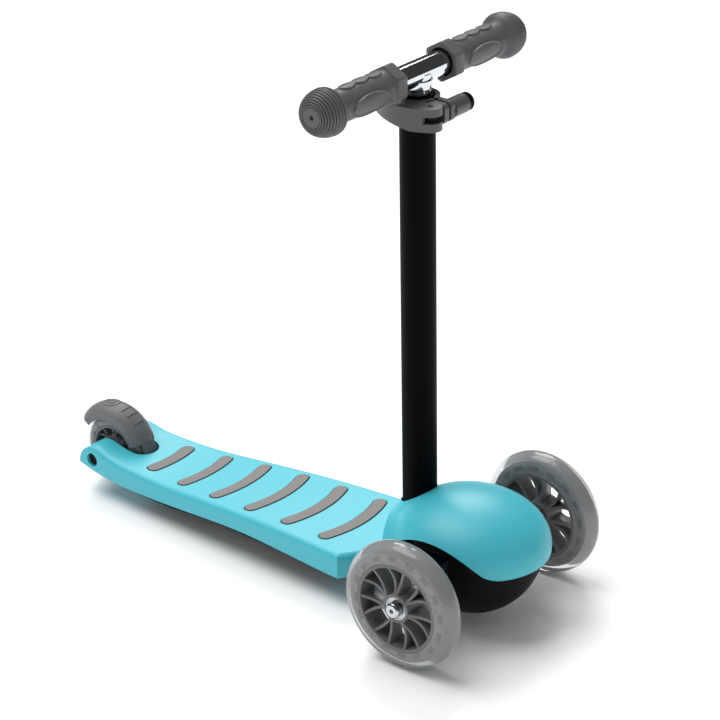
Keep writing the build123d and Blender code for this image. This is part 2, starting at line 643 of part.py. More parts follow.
def about(centre, radius, angle):
    """Y and Z of a point at a radius and an angle about a centre in the side view."""
    return (centre[0] + radius * cos(radians(angle)), centre[1] + radius * sin(radians(angle)))


def arm_point(angle, radius=ARM_R):
    return about(ARM_CENTRE, radius, angle)


def deck_profile(inset, drop=0.0):
    """Side view of the deck before its fork ends are rounded: a dished top and a waisted lower edge."""
    bottom = [(y, z - drop) for y, z in DECK_BOTTOM]
    top = [(y, z - inset) for y, z in DECK_TOP]
    join = arm_point(ARM_JOIN_ANGLE, ARM_R - inset)
    rise = (sin(radians(ARM_JOIN_ANGLE)), -cos(radians(ARM_JOIN_ANGLE)))
    crest = arm_point(90, ARM_R - inset)
    end_y, end_z = DECK_TAIL_REACH
    outline = Spline(top + [join], tangents=[(1, 0), rise])
    outline += ThreePointArc(join, arm_point((ARM_JOIN_ANGLE + 90) / 2, ARM_R - inset), crest)
    outline += Polyline(crest, (end_y, crest[1]), (end_y, end_z))
    outline += Spline([(end_y, end_z), arm_point(ARM_TIP_ANGLE)] + bottom)
    outline += Line(bottom[-1], top[0])
    return side_prism(outline, FAR / 4)


def tail_cut():
    """What lies behind the round ends of the fork."""
    shoulder, flank = ARM_END_ANGLES
    start = arm_point(shoulder)
    tip = arm_point(ARM_TIP_ANGLE)
    ahead = (start[0] - ARM_R * sin(radians(shoulder)), start[1] + ARM_R * cos(radians(shoulder)))
    outline = Line(ahead, start)
    outline += ThreePointArc(start, arm_point(flank), tip)
    outline += Polyline(tip, (tip[0], 0), (FAR * 2, 0), (FAR * 2, ahead[1]), ahead)
    return side_prism(outline, FAR / 2)


def deck_plan(inset, y_limits):
    """Plan of the deck: a straight taper to the tail with chamfered front corners."""
    corner_x, corner_y = DECK_CORNER

    def half_at(y):
        share = (y - corner_y) / (DECK_TAIL_Y - corner_y)
        return corner_x + (DECK_TAIL_HALF - corner_x) * share - inset

    front_y, tail_y = y_limits
    right = [(half_at(tail_y), tail_y)]
    if front_y < corner_y:
        right += [(corner_x - inset, corner_y), (DECK_NOSE_HALF, front_y)]
    else:
        right += [(half_at(front_y), front_y)]
    left = [(-x, y) for x, y in reversed(right)]
    points = right + left
    return extrude(make_face(Polyline(*points, points[0])), amount=FAR)


def deck_block():
    """Solid form of the deck with its top rim rounded."""
    block = deck_profile(0) & deck_plan(0, (DECK_NOSE_Y, DECK_TAIL_REACH[0]))
    rims = block.edges().filter_by(is_top_rim)
    return fillet(rims, DECK_EDGE_R) - tail_cut()


def pad_prism(index, grow):
    """Bent bar with round ends, convex towards the front."""
    y = PAD_FRONT_Y + PAD_PITCH * index
    reach = PAD_HALF_LENGTHS[index] - PAD_W / 2
    sag = PAD_BEND_R - sqrt(PAD_BEND_R ** 2 - reach ** 2)
    half = PAD_W / 2 + grow
    centre = Vector(0, y + PAD_BEND_R)
    scale_out = (PAD_BEND_R + half) / PAD_BEND_R
    scale_in = (PAD_BEND_R - half) / PAD_BEND_R
    right = Vector(reach, y + sag)
    out_end = centre + (right - centre) * scale_out
    in_end = centre + (right - centre) * scale_in
    side = (right - centre).normalized()
    cap = right + Vector(-side.Y, side.X) * half
    outline = ThreePointArc((-out_end.X, out_end.Y), (0, y - half), (out_end.X, out_end.Y))
    outline += ThreePointArc((out_end.X, out_end.Y), (cap.X, cap.Y), (in_end.X, in_end.Y))
    outline += ThreePointArc((in_end.X, in_end.Y), (0, y + half), (-in_end.X, in_end.Y))
    outline += ThreePointArc((-in_end.X, in_end.Y), (-cap.X, cap.Y), (-out_end.X, out_end.Y))
    return extrude(make_face(outline), amount=FAR)


def wheel_slot():
    """Slot between the fork arms, round in front, with a pocket below for the brake's barrel."""
    centre_y = SLOT_FRONT_Y + SLOT_HALF
    slot = rod_z(SLOT_HALF, 0, centre_y, (0, FAR))
    slot += box((-SLOT_HALF, SLOT_HALF), (centre_y, FAR * 2), (0, FAR))
    pivot_y, pivot_z = BRAKE_PIVOT
    half, ahead, above = BARREL_POCKET
    return slot + box((-half, half), (pivot_y - ahead, centre_y), (0, pivot_z + above))


def deck_shell():
    block = deck_block()
    shell = block - wheel_slot()
    pocket = deck_profile(DECK_WALL, POCKET_DROP) & deck_plan(DECK_SIDE_WALL, POCKET_Y)
    shell -= pocket
    shell += [rib & pocket for rib in deck_ribs()]
    shell -= tongue(GAP)
    for x, y in tray_screw_places():
        shell -= rod_z(SCREW_R, x, y, (0, tray_z(y) + TRAY_SCREW_LEN))
    for x, y in tongue_screw_places():
        shell -= rod_z(SCREW_R, x, y, (0, COLUMN_Z[0] + TONGUE_SCREW_BITE))
    for index in range(len(PAD_HALF_LENGTHS)):
        shell -= pad_prism(index, PAD_CLEAR) - Pos(0, 0, -PAD_DEPTH) * block
    for side in (-1, 1):
        shell -= rod_x(AXLE_RECESS_R, (side * AXLE_RECESS_X, side * FAR), REAR_AXLE_Y, REAR_WHEEL_R)
    shell -= rod_x(AXLE_R, (-FAR, FAR), REAR_AXLE_Y, REAR_WHEEL_R)
    return shell - brake_pin()


def is_top_rim(edge):
    middle = edge @ 0.5
    along = edge % 0.5
    return abs(middle.X) > SLOT_HALF + 4 and abs(along.Y) > 0.35 and middle.Z > 40 and edge.length > 30


def deck_ribs():
    """A lengthwise rib, a cross rib under each gap between pads, and the bosses for the tray's screws."""
    ribs = [box((-RIB_T / 4, RIB_T / 4), (0, FAR), (RIB_Z, FAR))]
    for index in range(len(PAD_HALF_LENGTHS) - 1):
        y = PAD_FRONT_Y + PAD_PITCH * (index + 0.5)
        ribs.append(box((-FAR, FAR), (y - RIB_T / 4, y + RIB_T / 4), (RIB_Z, FAR)))
    for x, y in tray_screw_places():
        ribs.append(rod_z(SCREW_HEAD_R, x, y, (tray_z(y) + TRAY_T + GAP, FAR)))
    return ribs


def grip_pad(index, block):
    prism = pad_prism(index, 0)
    return (prism & Pos(0, 0, PAD_PROUD) * block) - Pos(0, 0, -PAD_DEPTH) * block


def tray_z(y):
    """Height of the undertray's lower face, along straight runs between its bends."""
    for (y0, z0), (y1, z1) in zip(TRAY_BOTTOM, TRAY_BOTTOM[1:]):
        if y0 <= y <= y1:
            return z0 + (z1 - z0) * (y - y0) / (y1 - y0)


def tray_screw_places():
    return [(side * x, y) for x, y in TRAY_SCREWS for side in (-1, 1)]


def tray_block(inset, z_low, z_high):
    lower = [(y, z + z_low) for y, z in TRAY_BOTTOM]
    upper = [(y, z + z_high) for y, z in reversed(TRAY_BOTTOM)]
    outline = FilletPolyline(*lower, radius=TRAY_BEND_R)
    outline += Line(lower[-1], upper[0])
    outline += FilletPolyline(*upper, radius=TRAY_BEND_R)
    outline += Line(upper[-1], lower[0])
    limits = (TRAY_BOTTOM[0][0] + inset, TRAY_BOTTOM[-1][0] - inset)
    return side_prism(outline, FAR / 4) & deck_plan(DECK_SIDE_WALL + TRAY_SIDE_GAP + inset, limits)


def undertray():
    """Shallow tray that closes the deck from below, flat in its middle stretch."""
    tray = tray_block(0, 0, TRAY_WALL_H) - tray_block(TRAY_T, TRAY_T, TRAY_WALL_H + TRAY_T)
    for x, y in tray_screw_places():
        tray -= rod_z(SCREW_R + GAP / 2, x, y, (0, FAR))
        tray -= rod_z(SCREW_HEAD_R + GAP, x, y, (0, tray_z(y) + SCREW_HEAD_T))
    return tray


def tray_screws():
    screws = []
    for x, y in tray_screw_places():
        head_z = tray_z(y) + SCREW_HEAD_T
        shank = rod_z(SCREW_R, x, y, (head_z, tray_z(y) + TRAY_SCREW_LEN))
        screws.append(shank + rod_z(SCREW_HEAD_R, x, y, (head_z - SCREW_HEAD_T + 0.2, head_z)))
    return screws


def tongue_screws():
    screws = []
    foot = COLUMN_Z[0] - SOCKET_FLOOR
    for x, y in tongue_screw_places():
        shank = rod_z(SCREW_R, x, y, (foot, COLUMN_Z[0] + TONGUE_SCREW_BITE))
        screws.append(shank + rod_z(SCREW_HEAD_R, x, y, (foot - SCREW_HEAD_T, foot)))
    return screws


def tongue_screw_places():
    return [(side * x, y) for x, y in TONGUE_SCREWS for side in (-1, 1)]


# Rear axle and brake

def rear_axle_bolt():
    bolt = rod_x(AXLE_R, (-AXLE_RECESS_X, AXLE_RECESS_X + AXLE_HEAD_LEN - 2), REAR_AXLE_Y, REAR_WHEEL_R)
    head = (-AXLE_RECESS_X - AXLE_HEAD_LEN, -AXLE_RECESS_X)
    return bolt + rod_x(AXLE_HEAD_R, head, REAR_AXLE_Y, REAR_WHEEL_R)


def rear_axle_nut():
    plane = Plane(origin=(AXLE_RECESS_X, REAR_AXLE_Y, REAR_WHEEL_R), z_dir=(1, 0, 0))
    nut = extrude(plane * RegularPolygon(AXLE_HEAD_R, 6), amount=AXLE_HEAD_LEN)
    return nut - rod_x(AXLE_R, (0, AXLE_RECESS_X + AXLE_HEAD_LEN - 2), REAR_AXLE_Y, REAR_WHEEL_R)


def rear_axle_spacers():
    rings = []
    inner = HUB_W / 2 - BEARING_INSET + SIDE_PLAY
    for side in (-1, 1):
        ring = rod_x(AXLE_R + 2, (side * inner, side * SLOT_HALF), REAR_AXLE_Y, REAR_WHEEL_R)
        rings.append(ring - rod_x(AXLE_R, (-FAR, FAR), REAR_AXLE_Y, REAR_WHEEL_R))
    return rings


def brake_pin():
    return rod_x(BRAKE_PIN_R, (-BRAKE_PIN_HALF, BRAKE_PIN_HALF), *BRAKE_PIVOT)


def brake_spring():
    inner_r, outer_r = SPRING_R
    return rod_x(outer_r, SPRING_X, *BRAKE_PIVOT) - rod_x(inner_r, (0, FAR), *BRAKE_PIVOT)


def arch(section, centre, angles):
    """Sweep an upright X-R section about a cross axis through a side-view centre, between two angles."""
    first, last = angles
    place = Pos(0, *centre)
    axis = Axis((0, *centre), (1, 0, 0))
    return revolve(place * Rot(first, 0, 0) * make_face(section), axis=axis, revolution_arc=last - first)


def brake_fender():
    """Half-pipe mudguard with a brake shoe under its crest, on a leg that ends in the pivot's barrel."""
    inner_r, outer_r = FENDER_R
    inner, outer = FENDER_HALF
    base = FENDER_EDGE_R
    low, high = FENDER_SHOULDER_R
    wall = ThreePointArc((-outer, high), (0, outer_r), (outer, high))
    wall += Polyline((outer, high), (outer, base), (inner, base), (inner, low))
    wall += ThreePointArc((inner, low), (0, inner_r), (-inner, low))
    wall += Polyline((-inner, low), (-inner, base), (-outer, base), (-outer, high))
    fender = arch(wall, FENDER_CENTRE, FENDER_ANGLES)
    middle = sum(FENDER_R) / 2
    corners = [(-SHOE_HALF, SHOE_R), (SHOE_HALF, SHOE_R), (SHOE_HALF, middle), (-SHOE_HALF, middle)]
    fender += arch(Polyline(*corners, corners[0]), (REAR_AXLE_Y, REAR_WHEEL_R), SHOE_ANGLES)
    pivot_y, pivot_z = BRAKE_PIVOT
    front = (pivot_y - BRAKE_BARREL_R + GAP, pivot_z)
    rear = (pivot_y + BRAKE_BARREL_R - GAP, pivot_z)
    inside, outside = [about(FENDER_CENTRE, radius, angle) for radius, angle in FENDER_ROOT]
    fender += side_prism(Polyline(rear, inside, outside, FENDER_KNEE, front, rear), BRAKE_BARREL_HALF)
    fender += rod_x(BRAKE_BARREL_R, (-BRAKE_BARREL_HALF, BRAKE_BARREL_HALF), pivot_y, pivot_z)
    return fender - rod_x(BRAKE_PIN_R + RUN_FIT, (-FAR, FAR), pivot_y, pivot_z)


# Every sub-part, written to its own file

def main():
    os.makedirs("parts", exist_ok=True)
    for name, side in (("right", -1), ("left", 1)):
        sizes = (FRONT_WHEEL_R, FRONT_RIM_R, FRONT_FLANGE_R, FRONT_CROWN)
        save_wheel(f"{name}_front_wheel", sizes, Pos(side * FRONT_TRACK_X, 0, AXLE_Z))
    sizes = (REAR_WHEEL_R, REAR_RIM_R, REAR_FLANGE_R, REAR_CROWN)
    save_wheel("rear_wheel", sizes, Pos(0, REAR_AXLE_Y, REAR_WHEEL_R))
    save("front_cover", front_cover())
    save("front_housing_base", front_base())
    save("cover_screws", group(cover_screws()))
    save("axle_beam", axle_beam())
    save("lean_bushes", group(lean_bushes()))
    save("lean_pin", lean_pin())
    save("kingpins", group(kingpins()))
    save("tie_rod", tie_rod())
    handed = {"knuckle": knuckle(), "axle_bolt": front_axle_bolt()}
    handed.update(lean_bumper=lean_bumper(), grip=grip())
    for name, shape in handed.items():
        save(f"left_{name}", shape)
        save(f"right_{name}", mirrored(shape))
    save("column_tube", column_tube())
    save("column_bolt", column_bolt())
    save("column_bush", column_bush())
    save("stem_tube", stem_tube())
    save("stem_plug", stem_plug())
    save("stem_weld", stem_weld())
    save("cross_tube", cross_tube())
    save("clamp_collar", clamp_collar())
    save("clamp_bolt", clamp_bolt())
    save("clamp_nut", clamp_nut())
    save("clamp_nut_cap", clamp_nut_cap())
    save("clamp_lever", clamp_lever())
    save("lever_pin", lever_pin())
    save("deck_shell", deck_shell())
    block = deck_block()
    for index in range(len(PAD_HALF_LENGTHS)):
        save(f"grip_pad_{index + 1}", grip_pad(index, block))
    save("deck_undertray", undertray())
    save("undertray_screws", group(tray_screws()))
    save("tongue_screws", group(tongue_screws()))
    save("rear_axle_bolt", rear_axle_bolt())
    save("rear_axle_nut", rear_axle_nut())
    save("rear_axle_spacers", group(rear_axle_spacers()))
    save("brake_fender", brake_fender())
    save("brake_pin", brake_pin())
    save("brake_spring", brake_spring())


main()
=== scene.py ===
import json
import math

import bmesh
import bpy
from bpy.props import FloatProperty, FloatVectorProperty, IntProperty, PointerProperty
from mathutils import Matrix, Vector


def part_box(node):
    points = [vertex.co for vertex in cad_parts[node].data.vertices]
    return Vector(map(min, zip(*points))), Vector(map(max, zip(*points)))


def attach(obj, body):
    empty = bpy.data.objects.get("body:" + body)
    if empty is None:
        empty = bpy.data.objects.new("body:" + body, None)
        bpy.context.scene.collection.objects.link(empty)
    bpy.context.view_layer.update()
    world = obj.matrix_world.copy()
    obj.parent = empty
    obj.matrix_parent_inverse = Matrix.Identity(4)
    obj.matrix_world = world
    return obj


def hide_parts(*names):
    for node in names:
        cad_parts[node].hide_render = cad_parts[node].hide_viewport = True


bl_info = {
    "name": "Kick scooter dressing",
    "version": (1, 0, 0),
    "blender": (4, 5, 0),
    "location": "View3D > Sidebar > Scooter",
    "description": "Dresses a three-wheeled kick scooter with moulded, cast and chromed pieces",
    "category": "Object",
}

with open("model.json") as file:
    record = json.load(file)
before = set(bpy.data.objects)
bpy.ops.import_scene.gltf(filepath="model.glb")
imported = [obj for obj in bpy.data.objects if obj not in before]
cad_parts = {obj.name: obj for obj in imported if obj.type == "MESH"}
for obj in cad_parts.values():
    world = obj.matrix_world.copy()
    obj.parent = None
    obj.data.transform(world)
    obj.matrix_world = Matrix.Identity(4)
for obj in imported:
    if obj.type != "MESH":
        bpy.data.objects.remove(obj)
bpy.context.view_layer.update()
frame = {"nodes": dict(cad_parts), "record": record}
BODIES = frame["record"]["behaviour"]["bodies"]
NODE_BODY = {node: body for body, nodes in BODIES.items() for node in nodes}
MM = 0.001
FRONT_AXLE_Y = sum(corner[1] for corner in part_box("right_front_wheel_tyre")) / 2

# Sizes below are in millimetres, and places are measured back from the front axle and up from the ground.

# Edge rounding of the dressed solids.
HAIRLINE, FINE, CRISP, EASED, SOFT, FULL, BOLD = 0.1, 0.2, 0.3, 0.4, 0.5, 0.8, 0.9

# Each wheel with the radius of its rim and of the flange inside its tyre.
WHEELS = (("right_front_wheel", 42.0, 51.5), ("left_front_wheel", 42.0, 51.5), ("rear_wheel", 25.5, 32.0))
TYRE_FLANK = 0.93
TYRE_CROWN = 0.92
TYRE_PLAY = 0.05
RIM_WALL = 2.8
RIM_LIP = 0.5
FLANGE_WIDTH = 12.0
FLANGE_EDGE = 0.28
WINDOW_SHARE = 0.5
# Black ring in the middle of the flange's windows, painted shade that keeps them dark: its margin from rim and
# flange as a share of the gap, and its half width.
SHADE_WEB_EDGE = 0.25
SHADE_WEB_HALF = 5.2
HUB_R = 13.8
HUB_HALF = 11.0
SEAT_R = 11.05
STOP_R = 9.0
STOP_HALF = 3.4
SPOKE_ANGLES = (0.05, 0.226)

# Ball bearings: half width, broken edge, bore, and the inner and outer race's rim with the shield between them.
BEARING_HALF = 3.5
BEARING_EDGE = 0.25
BEARING_BORE = 4.06
BEARING_LEAD = 4.3
RACE_R = (6.1, 9.5)
SHIELD_R = (6.3, 9.3)

# Grip: pairs of distance from its inner end and radius, for the bore with its hexagonal flange and for the
# shoulder of its round end. The waist has its first place, radius, swell and half-millimetre steps. The end has
# its start, the radius of its flat and the dome's height over it; the cap's pairs are measured from the tip.
# The palm oval has its middle and half sizes.
GRIP_FLANGE = [(10, 11.05), (10, 12.8), (0.3, 12.8), (0, 13.2), (0, 17.6), (0.4, 18.3), (1.2, 18.6),
               (6.5, 18.6), (11.6, 18.6), (12.4, 18.3), (12.8, 17.6), (13, 16.2), (13.6, 15.0), (15, 14.4)]
GRIP_SHOULDER = [(78.5, 14.4), (80, 15.6), (81.5, 17.6), (83, 19.2), (85, 20.3), (87.5, 20.8)]
GRIP_WALL = 4.4
GRIP_WAIST = (17.0, 14.1, 0.5, 122)
GRIP_END = (88.0, 9.2, 11.6)
GRIP_CAP = [(0.6, 8.8), (0.6, 2.3), (1, 2), (3.4, 2), (3.4, 0)]
GRIP_BUMPS = (27, 44, 61)
GRIP_BUMP = (10.0, 5.2)
GRIP_PALM = (46.0, 25.0, 10.0)
GRIP_PALM_ANGLE = 100.0
GRIP_PALM_RIDGE = 1.7
GRIP_PALM_HOLLOW = 1.2
HEX_FLAT = 16.1
HEX_ROUND = 18.6
HEX_POWER = 26

# Front cover: centre and half axes of its dome and of the lobe behind it, and a point inside both.
COVER_DOME = ((0.0, 3.3, 76.7), (66.4, 73.6, 46.3))
COVER_LOBE = ((0.0, 60.0, 50.0), (38.0, 36.0, 55.0))
COVER_EYE = (0.0, 35.0, 70.0)
COVER_SOFT = 0.22
COVER_SKIN = 0.012
COVER_MESH = (9.0, 5.0)

# Black painted shade in the gap round a deck pad: how far it sits below the pad.
GAP_SHADE_DROP = 1.5
CROSS_TUBE_WALL = 1.6

# Foot brake: axis, crest and crown of its arch, and the ovals and bars of its relief with their angles.
FENDER_AXIS = (441.4, 38.0)
FENDER_CREST = 46.2
FENDER_CROWN = 18.5
RELIEF_OVALS = (6.5, 3.0)
RELIEF_OVAL_ANGLE = 84.0
RELIEF_BAR = (14.0, 2.4)
RELIEF_BAR_ANGLES = (108.0, 119.0, 132.0)

# Studio: lamps as name, direction towards them, strength and angular size; the surround, seen and reflected.
LAMPS = (("key", (-0.15, 0.5, 1.2), 2.1, 45.0), ("sheen", (0.6, 0.5, 0.75), 1.4, 30.0))
SURROUND = (0.42, 0.05)
FLOOR_HALF = 8.0

# The camera of the photograph: a long lens from the rider's right, in front, a little above the handlebar.
CAMERA_AZIMUTH = -51.56
CAMERA_ELEVATION = 24.71
CAMERA_ROLL = -0.72
CAMERA_DISTANCE = 2.3847
CAMERA_TARGET = (0.0, FRONT_AXLE_Y + 0.100, 0.250)
CAMERA_LENS = 133.97
CAMERA_SHIFT = (-0.0353, -0.0331)


def linear(hexcode):
    """Turn an sRGB hex colour into linear red, green and blue."""
    channels = [int(hexcode[i:i + 2], 16) / 255 for i in (0, 2, 4)]
    return tuple(c / 12.92 if c <= 0.04045 else ((c + 0.055) / 1.055) ** 2.4 for c in channels)


def colour(name, description, hexcode):
    return FloatVectorProperty(name=name, description=description, subtype="COLOR", size=3,
                               min=0.0, max=1.0, default=linear(hexcode))


def length(name, description, millimetres):
    return FloatProperty(name=name, description=description, unit="LENGTH", min=0.0,
                         precision=5, default=millimetres * MM)


class ScooterColours(bpy.types.PropertyGroup):
    """Colours of the finishes."""
    shell: colour("Shell", "Turquoise of the deck and the front cover", "45BBCB")
    black: colour("Black mouldings", "Housing, undertray, bushes and caps", "060607")
    column: colour("Column", "Powder coat of the column", "030304")
    pad: colour("Deck pads", "Grey rubber of the deck pads", "807E7D")
    grip: colour("Grips", "Grey rubber of the grips", "5C5C5E")
    clamp: colour("Clamp", "Grey nylon of the collar and lever", "4E4F51")
    fender: colour("Fender", "Dark grey of the foot brake", "6A6B6D")
    core: colour("Wheel cores", "Grey nylon of the wheel cores", "666769")
    tyre: colour("Tyres", "Tint of the clear tyres", "F2F3F4")
    floor: colour("Floor", "Studio floor", "FFFFFF")


class ScooterSizes(bpy.types.PropertyGroup):
    """Sizes of the details that the construction leaves plain."""
    edge_round: length("Edge rounding", "Radius on the edges of small mouldings", 0.7)
    spoke_depth: length("Spoke depth", "Width of a spoke across the wheel at its ends", 21.0)
    spoke_dish: length("Spoke dish", "How far a spoke's edges dip between hub and rim", 3.5)
    spoke_thickness: length("Spoke thickness", "Thickness of a spoke", 2.8)
    ridge_height: length("Ridge height", "Depth of the grooves on the grip's end", 1.6)
    ridges: IntProperty(name="Ridges", description="Ridges on the grip's end", default=9, min=2, max=20)
    bump_height: length("Bump height", "Height of the finger bumps on a grip", 1.4)
    # Width of the black ring of painted shade round a deck pad.
    gap_shade: length("Pad seal", "Width of the black seal round a deck pad", 0.9)
    relief: length("Fender relief", "Height of the raised pattern on the foot brake", 0.8)
    spokes: IntProperty(name="Spoke pairs", description="Pairs of spokes in a wheel", default=7, min=3, max=12)
    windows: IntProperty(name="Windows", description="Windows in a wheel's flange", default=16, min=8, max=32)


# Materials

def add(tree, kind, inputs=None, **settings):
    """Add a node with its settings, and link or set its inputs."""
    node = tree.nodes.new(kind)
    for name, value in settings.items():
        setattr(node, name, value)
    for socket, value in (inputs or {}).items():
        if isinstance(value, bpy.types.NodeSocket):
            tree.links.new(value, node.inputs[socket])
        else:
            node.inputs[socket].default_value = value
    return node


def start_material(name):
    material = bpy.data.materials.get(name)
    if material:
        return material, None
    material = bpy.data.materials.new(name)
    material.use_nodes = True
    material.node_tree.nodes.clear()
    return material, material.node_tree


def close_material(tree, shader):
    add(tree, "ShaderNodeOutputMaterial", {"Surface": shader.outputs[0]})


def per_mm(millimetres):
    """Texture scale that gives features of about this size."""
    return 1.0 / (millimetres * MM)


def shade(rgb, factor):
    return tuple(min(1.0, c * factor) for c in rgb) + (1.0,)


def moulded(name, rgb, roughness, grain, depth, cloud=45.0, contrast=0.05, **extra):
    """Moulded plastic or rubber: a fine spark-eroded grain, with slow clouds in colour and gloss.
    The grain is drawn coarser than the real 0.1 mm, so that it shows."""
    material, tree = start_material(name)
    if tree is None:
        return material
    place = add(tree, "ShaderNodeTexCoord").outputs["Object"]
    clouds = add(tree, "ShaderNodeTexNoise", {"Vector": place, "Scale": per_mm(cloud), "Detail": 3.0})
    tint = add(tree, "ShaderNodeMix", {"Factor": clouds.outputs["Fac"], "A": shade(rgb, 1 - contrast),
                                       "B": shade(rgb, 1 + contrast)}, data_type="RGBA")
    pits = add(tree, "ShaderNodeTexNoise", {"Vector": place, "Scale": per_mm(grain), "Detail": 2.0})
    gloss = add(tree, "ShaderNodeMapRange", {"Value": clouds.outputs["Fac"], "To Min": roughness - 0.05,
                                             "To Max": roughness + 0.05})
    bump = add(tree, "ShaderNodeBump", {"Height": pits.outputs["Fac"], "Strength": 0.35,
                                        "Distance": depth * MM})
    inputs = {"Base Color": tint.outputs["Result"], "Roughness": gloss.outputs["Result"],
              "Normal": bump.outputs["Normal"], "IOR": 1.5}
    inputs.update(extra)
    close_material(tree, add(tree, "ShaderNodeBsdfPrincipled", inputs))
    return material


def colours():
    return bpy.context.scene.scooter_colours


def sizes():
    return bpy.context.scene.scooter_sizes


def turquoise_polypropylene():
    """Polypropylene, satin moulded: an even colour with a soft broad sheen."""
    return moulded("turquoise_polypropylene", colours().shell, 0.42, 0.9, 0.03, contrast=0.02)


# Also gives the black of the rings in the wheel windows, which is painted shade.
def black_polypropylene():
    """Black polypropylene, satin moulded: almost no colour, a dull sheen."""
    return moulded("black_polypropylene", colours().black, 0.5, 0.9, 0.05, contrast=0.2,
                   **{"Specular IOR Level": 0.08})


def powder_coat():
    """Black powder coat on aluminium tube: fine orange peel under a soft gloss."""
    return moulded("black_powder_coat", colours().column, 0.5, 1.4, 0.03, contrast=0.15,
                   **{"Specular IOR Level": 0.05})


def pad_rubber():
    """Thermoplastic rubber, moulded matt: a dry surface with a visible grit."""
    return moulded("grey_pad_rubber", colours().pad, 0.72, 0.7, 0.08, contrast=0.05)


def grip_rubber():
    """Thermoplastic rubber, moulded matt."""
    return moulded("grey_grip_rubber", colours().grip, 0.4, 0.8, 0.06, contrast=0.05,
                   **{"Specular IOR Level": 0.3})


def clamp_nylon():
    """Glass-filled nylon, moulded: a slightly mottled satin surface."""
    return moulded("grey_clamp_nylon", colours().clamp, 0.38, 1.1, 0.05, contrast=0.06)


def fender_nylon():
    """Glass-filled nylon, moulded."""
    return moulded("dark_fender_nylon", colours().fender, 0.5, 0.9, 0.06, contrast=0.06)


def core_nylon():
    """Grey nylon wheel core, moulded with a light gloss."""
    return moulded("grey_core_nylon", colours().core, 0.36, 1.2, 0.03, contrast=0.06)


# Also gives the black of the rings round the deck pads, which is painted shade.
def bumper_rubber():
    """Black rubber of the lean bumpers."""
    return moulded("black_bumper_rubber", colours().black, 0.8, 0.8, 0.08, contrast=0.2)


def metal(name, rgb, roughness, brush, stretch):
    """Bare or plated metal: fine lines from turning or polishing that vary the gloss."""
    material, tree = start_material(name)
    if tree is None:
        return material
    place = add(tree, "ShaderNodeTexCoord").outputs["Object"]
    mapping = add(tree, "ShaderNodeMapping", {"Vector": place, "Scale": stretch})
    lines = add(tree, "ShaderNodeTexNoise", {"Vector": mapping.outputs["Vector"], "Scale": per_mm(brush),
                                             "Detail": 4.0})
    gloss = add(tree, "ShaderNodeMapRange", {"Value": lines.outputs["Fac"], "To Min": roughness * 0.7,
                                             "To Max": roughness * 1.5})
    bump = add(tree, "ShaderNodeBump", {"Height": lines.outputs["Fac"], "Strength": 0.08,
                                        "Distance": 0.02 * MM})
    shader = add(tree, "ShaderNodeBsdfPrincipled", {"Base Color": shade(rgb, 1.0), "Metallic": 1.0,
                                                    "Roughness": gloss.outputs["Result"],
                                                    "Normal": bump.outputs["Normal"]})
    close_material(tree, shader)
    return material


def chrome_plate():
    """Chrome on polished steel tube: a mirror with faint polishing lines along the tube."""
    return metal("chrome_plate", linear("D6D9DC"), 0.07, 1.5, (0.1, 1.0, 1.0))


def zinc_steel():
    """Zinc-plated steel: bright, with a fine turned grain."""
    return metal("zinc_plated_steel", linear("C3C5C7"), 0.24, 0.8, (1.0, 0.3, 0.3))


def bearing_steel():
    """Ground bearing steel: bright, with fine rings."""
    return metal("ground_bearing_steel", linear("B4B6B8"), 0.22, 0.8, (1.0, 0.3, 0.3))


def shade_dark_steel():
    """Steel painted near-black, dark and oily, as painted shade in the holes and slit where its bolts and pins
    sit; a fine turned grain.
    """
    return metal("painted_shade_steel", linear("202021"), 0.45, 0.8, (1.0, 0.3, 0.3))


def cast_aluminium():
    """Die-cast aluminium: dull, with a grainy skin."""
    return metal("die_cast_aluminium", linear("A5A7AA"), 0.45, 1.6, (1.0, 1.0, 1.0))


def clear_urethane():
    """Clear cast polyurethane: glossy, slightly milky, with the core's flange showing inside."""
    material, tree = start_material("clear_cast_urethane")
    if tree is None:
        return material
    place = add(tree, "ShaderNodeTexCoord").outputs["Object"]
    haze = add(tree, "ShaderNodeTexNoise", {"Vector": place, "Scale": per_mm(30), "Detail": 2.0})
    gloss = add(tree, "ShaderNodeMapRange", {"Value": haze.outputs["Fac"], "To Min": 0.06, "To Max": 0.16})
    shader = add(tree, "ShaderNodeBsdfPrincipled", {"Base Color": shade(colours().tyre, 1.0),
                                                    "Roughness": gloss.outputs["Result"],
                                                    "Transmission Weight": 0.8, "IOR": 1.42})
    close_material(tree, shader)
    return material


# Meshes

def new_piece(name, bm, material, node, sharp=35.0):
    """Turn a bmesh into a piece that rides on its node's body and stands for the node."""
    mesh = bpy.data.meshes.new(name)
    bm.to_mesh(mesh)
    bm.free()
    mesh.materials.append(material)
    mesh.shade_smooth()
    mesh.set_sharp_from_angle(angle=math.radians(sharp))
    piece = bpy.data.objects.new(name, mesh)
    bpy.context.scene.collection.objects.link(piece)
    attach(piece, NODE_BODY[node])
    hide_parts(node)
    return piece


def tidy(bm, merge=0.005):
    bmesh.ops.remove_doubles(bm, verts=bm.verts, dist=merge * MM)
    bmesh.ops.recalc_face_normals(bm, faces=bm.faces)


def round_edges(bm, width, angle=35.0, segments=2):
    """Round every edge that is sharper than the angle."""
    limit = math.radians(angle)
    edges = [edge for edge in bm.edges if edge.is_manifold and edge.calc_face_angle(0) > limit]
    bmesh.ops.bevel(bm, geom=edges, offset=width, offset_type="OFFSET", affect="EDGES", segments=segments,
                    profile=0.5, material=-1, clamp_overlap=True, loop_slide=True)


def merged(node):
    """Copy of a CAD solid's mesh with its doubled vertices merged."""
    bm = bmesh.new()
    bm.from_mesh(frame["nodes"][node].data)
    bmesh.ops.remove_doubles(bm, verts=bm.verts, dist=0.002 * MM)
    return bm


